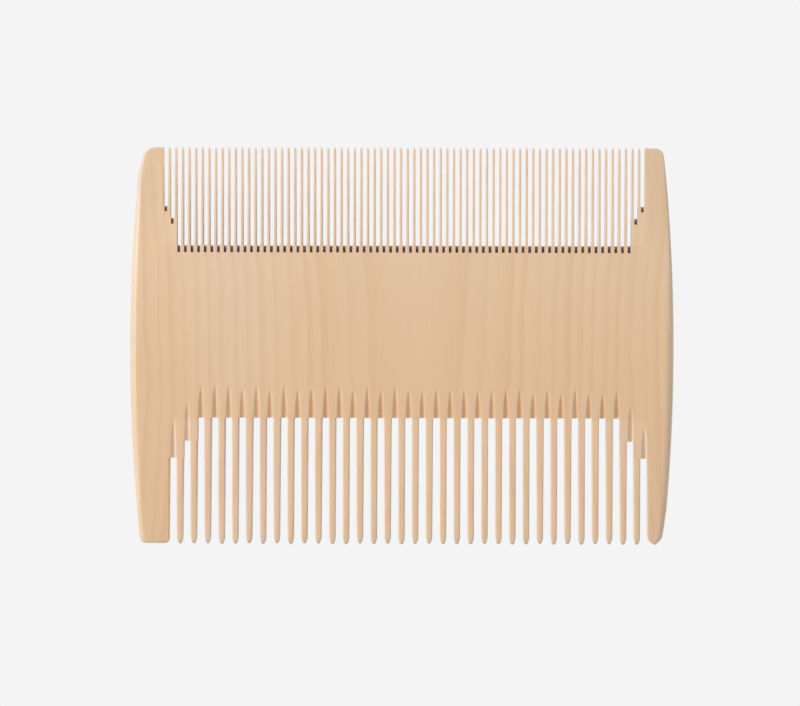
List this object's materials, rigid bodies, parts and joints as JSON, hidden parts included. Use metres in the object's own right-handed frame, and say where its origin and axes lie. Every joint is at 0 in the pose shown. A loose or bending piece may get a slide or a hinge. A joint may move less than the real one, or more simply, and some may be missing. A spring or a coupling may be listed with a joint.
{
  "type": "beard comb",
  "caption": "Flat wooden comb with fine teeth along one edge, coarse teeth along the other and a broad guard at each end.",
  "frame": {"origin": "under the middle of the comb, on the flat land of its back face, where it lies on a surface", "axes": "+X along the rows of teeth, +Y towards the fine teeth, +Z out of the front face"},
  "size_m": [0.082, 0.06, 0.007],
  "materials": {
    "wood": "smooth sanded pale hardwood, unvarnished, grain along the teeth"
  },
  "bodies": {
    "root": {"spine": "wood", "left_guard": "wood", "right_guard": "wood", "coarse_tooth_01": "wood", "coarse_tooth_02": "wood", "coarse_tooth_03": "wood", "coarse_tooth_04": "wood", "coarse_tooth_05": "wood", "coarse_tooth_06": "wood", "coarse_tooth_07": "wood", "coarse_tooth_08": "wood", "coarse_tooth_09": "wood", "coarse_tooth_10": "wood", "coarse_tooth_11": "wood", "coarse_tooth_12": "wood", "coarse_tooth_13": "wood", "coarse_tooth_14": "wood", "coarse_tooth_15": "wood", "coarse_tooth_16": "wood", "coarse_tooth_17": "wood", "coarse_tooth_18": "wood", "coarse_tooth_19": "wood", "coarse_tooth_20": "wood", "coarse_tooth_21": "wood", "coarse_tooth_22": "wood", "coarse_tooth_23": "wood", "coarse_tooth_24": "wood", "coarse_tooth_25": "wood", "coarse_tooth_26": "wood", "coarse_tooth_27": "wood", "coarse_tooth_28": "wood", "coarse_tooth_29": "wood", "coarse_tooth_30": "wood", "coarse_tooth_31": "wood", "coarse_tooth_32": "wood", "coarse_tooth_33": "wood", "coarse_tooth_34": "wood", "fine_teeth": "wood"}
  },
  "joints": []
}
